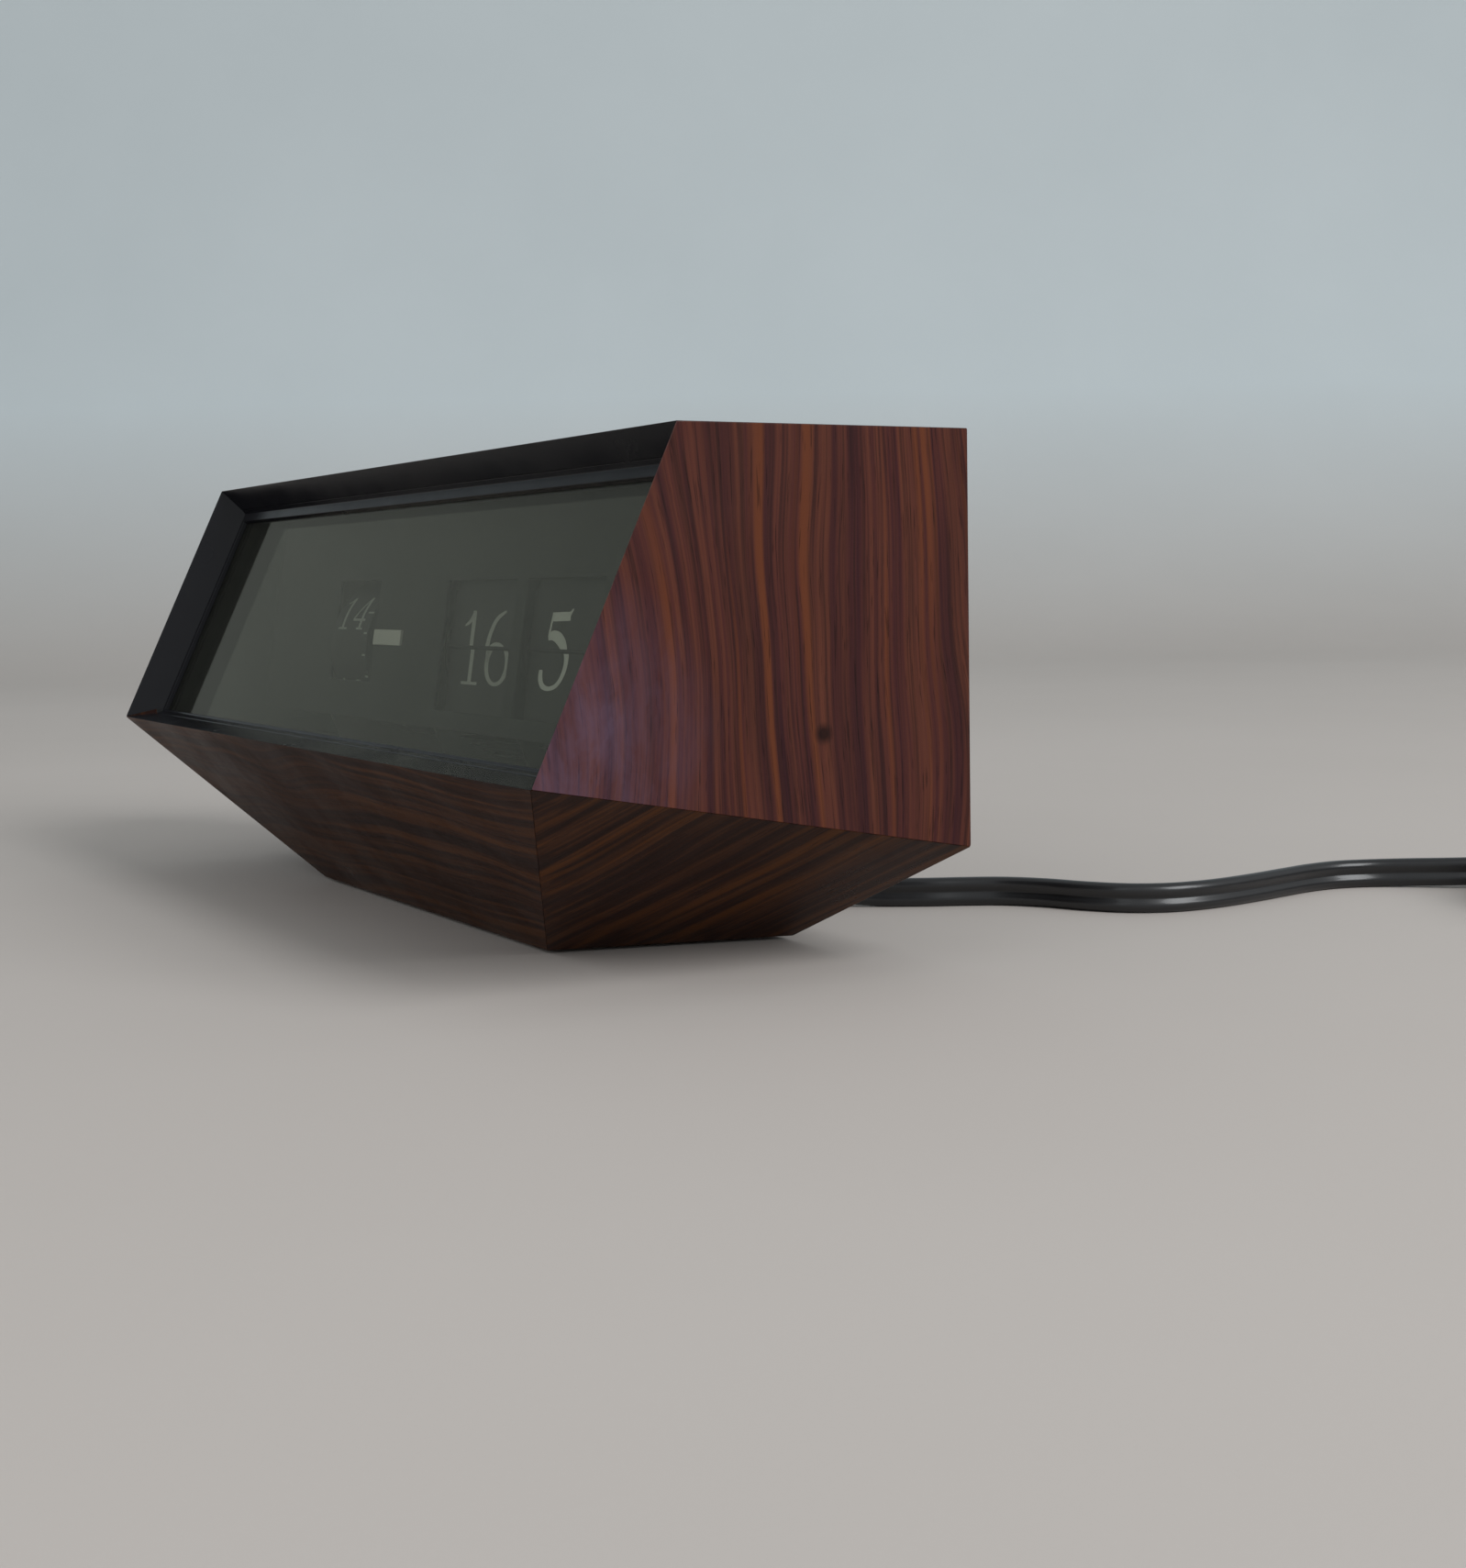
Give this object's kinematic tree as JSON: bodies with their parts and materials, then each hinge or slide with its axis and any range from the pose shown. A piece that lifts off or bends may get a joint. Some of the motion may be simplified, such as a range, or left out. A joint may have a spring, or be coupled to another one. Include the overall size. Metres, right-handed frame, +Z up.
{
  "type": "flip number clock",
  "caption": "Table flip clock in a faceted veneered case with a raked smoked window, a 24-hour leaf display, an alarm number drum and a flat mains cord.",
  "frame": {"origin": "on the surface under the middle of the clock, cord and plug left out", "axes": "+Z up, the window faces -Y, +X to the right seen from the front"},
  "size_m": [0.32, 0.2772, 0.0933],
  "materials": {
    "rosewood_side": "gloss lacquer, upright grain",
    "rosewood_top": "gloss lacquer, lengthwise grain",
    "rosewood_lower": "gloss lacquer, dark",
    "black_frame": "polished",
    "smoked_glass": "polished",
    "black_cover": "fine texture",
    "block_wood": "raw",
    "steel": "plated",
    "rubber": "matt",
    "mask_black": "matt",
    "mark_white": "satin",
    "zinc_sheet": "zinc plated",
    "zinc_black": "black passivated zinc",
    "brass": "turned",
    "motor_can": "satin",
    "copper_winding": "enamelled winding",
    "acetal": "moulded",
    "acetal_black": "moulded",
    "leaf_black": "satin card",
    "knob_black": "knurled",
    "slider_grey": "moulded",
    "cord_black": "vinyl",
    "blade_brass": "polished"
  },
  "bodies": {
    "clock": {"top_panel": "rosewood_top", "left_side_panel": "rosewood_side", "right_side_panel": "rosewood_side", "lower_front_panel": "rosewood_lower", "lower_left_panel": "rosewood_lower", "lower_right_panel": "rosewood_lower", "lower_rear_panel": "rosewood_lower", "base_panel": "rosewood_lower", "front_bezel": "black_frame", "smoked_glass": "smoked_glass", "rear_cover": "black_cover", "cover_blocks": "block_wood", "cover_screws": "steel", "rubber_feet": "rubber", "dial_mask": "mask_black", "index_mark": "mark_white", "chassis_plate": "zinc_sheet", "chassis_posts": "zinc_sheet", "outer_left_plate": "zinc_sheet", "inner_left_plate": "zinc_sheet", "mid_plate": "zinc_black", "right_plate": "zinc_sheet", "main_axle": "steel", "axle_clips": "steel", "tie_rods": "brass", "flip_fingers": "steel", "motor_case": "motor_can", "motor_endplate": "zinc_sheet", "motor_screws": "steel", "buzzer_coil": "copper_winding", "buzzer_reed": "steel", "cord_relief": "cord_black", "cord_lead": "cord_black", "cord_coil": "cord_black", "cord_tie": "cord_black", "plug_body": "cord_black", "plug_blades": "blade_brass"},
    "minute_drum": {"minute_spool": "acetal_black", "minute_leaves": "leaf_black", "minute_gear": "acetal", "minute_pinion": "acetal"},
    "minute_leaf": {"minute_falling_leaf": "leaf_black"},
    "hour_drum": {"hour_spool": "acetal_black", "hour_leaves": "leaf_black", "hour_gear": "acetal"},
    "hour_leaf": {"hour_falling_leaf": "leaf_black"},
    "counter": {"counter_arbor": "steel", "counter_gear": "acetal", "counter_pinion": "acetal"},
    "motor_output": {"motor_pinion": "brass"},
    "time_setter": {"time_set_arbor": "brass", "time_set_wheel": "knob_black"},
    "alarm_number_drum": {"alarm_drum": "leaf_black", "alarm_gear": "acetal"},
    "alarm_setter": {"alarm_set_arbor": "brass", "alarm_set_wheel": "knob_black"},
    "alarm_switch": {"alarm_slider": "slider_grey"}
  },
  "joints": [
    {"name": "minute_spin", "type": "hinge", "parent": "clock", "child": "minute_drum", "pos_m": [0.0538, 0.0106, 0.0529], "axis": [1, 0, 0], "continuous": true},
    {"name": "hour_spin", "type": "hinge", "parent": "clock", "child": "hour_drum", "pos_m": [0.0158, 0.0106, 0.0529], "axis": [1, 0, 0], "continuous": true},
    {"name": "counter_spin", "type": "hinge", "parent": "clock", "child": "counter", "pos_m": [0.0347, 0.01513, 0.036], "axis": [1, 0, 0], "continuous": true},
    {"name": "motor_spin", "type": "hinge", "parent": "clock", "child": "motor_output", "pos_m": [0.075, 0.01513, 0.036], "axis": [1, 0, 0], "continuous": true},
    {"name": "time_set_spin", "type": "hinge", "parent": "clock", "child": "time_setter", "pos_m": [0.085, 0.02616, 0.0638], "axis": [1, 0, 0], "continuous": true},
    {"name": "alarm_spin", "type": "hinge", "parent": "clock", "child": "alarm_number_drum", "pos_m": [-0.051, 0.0106, 0.0529], "axis": [1, 0, 0], "continuous": true},
    {"name": "alarm_set_spin", "type": "hinge", "parent": "clock", "child": "alarm_setter", "pos_m": [-0.075, 0.02616, 0.0638], "axis": [1, 0, 0], "continuous": true},
    {"name": "minute_leaf_fall", "type": "hinge", "parent": "minute_drum", "child": "minute_leaf", "pos_m": [0.0538, -0.0055, 0.05574], "axis": [1, 0, 0], "range_deg": [0, 178]},
    {"name": "hour_leaf_fall", "type": "hinge", "parent": "hour_drum", "child": "hour_leaf", "pos_m": [0.0158, -0.0055, 0.05574], "axis": [1, 0, 0], "range_deg": [0, 178]},
    {"name": "alarm_switch_slide", "type": "slide", "parent": "clock", "child": "alarm_switch", "axis": [1, 0, 0], "range_m": [0, 0.0045]}
  ],
  "couplings": [
    {"joint": "counter_spin", "follows": "minute_spin", "ratio": -0.25},
    {"joint": "hour_spin", "follows": "minute_spin", "ratio": 0.041667},
    {"joint": "motor_spin", "follows": "minute_spin", "ratio": -6},
    {"joint": "time_set_spin", "follows": "minute_spin", "ratio": -3.75},
    {"joint": "alarm_set_spin", "follows": "alarm_spin", "ratio": -3.75}
  ]
}
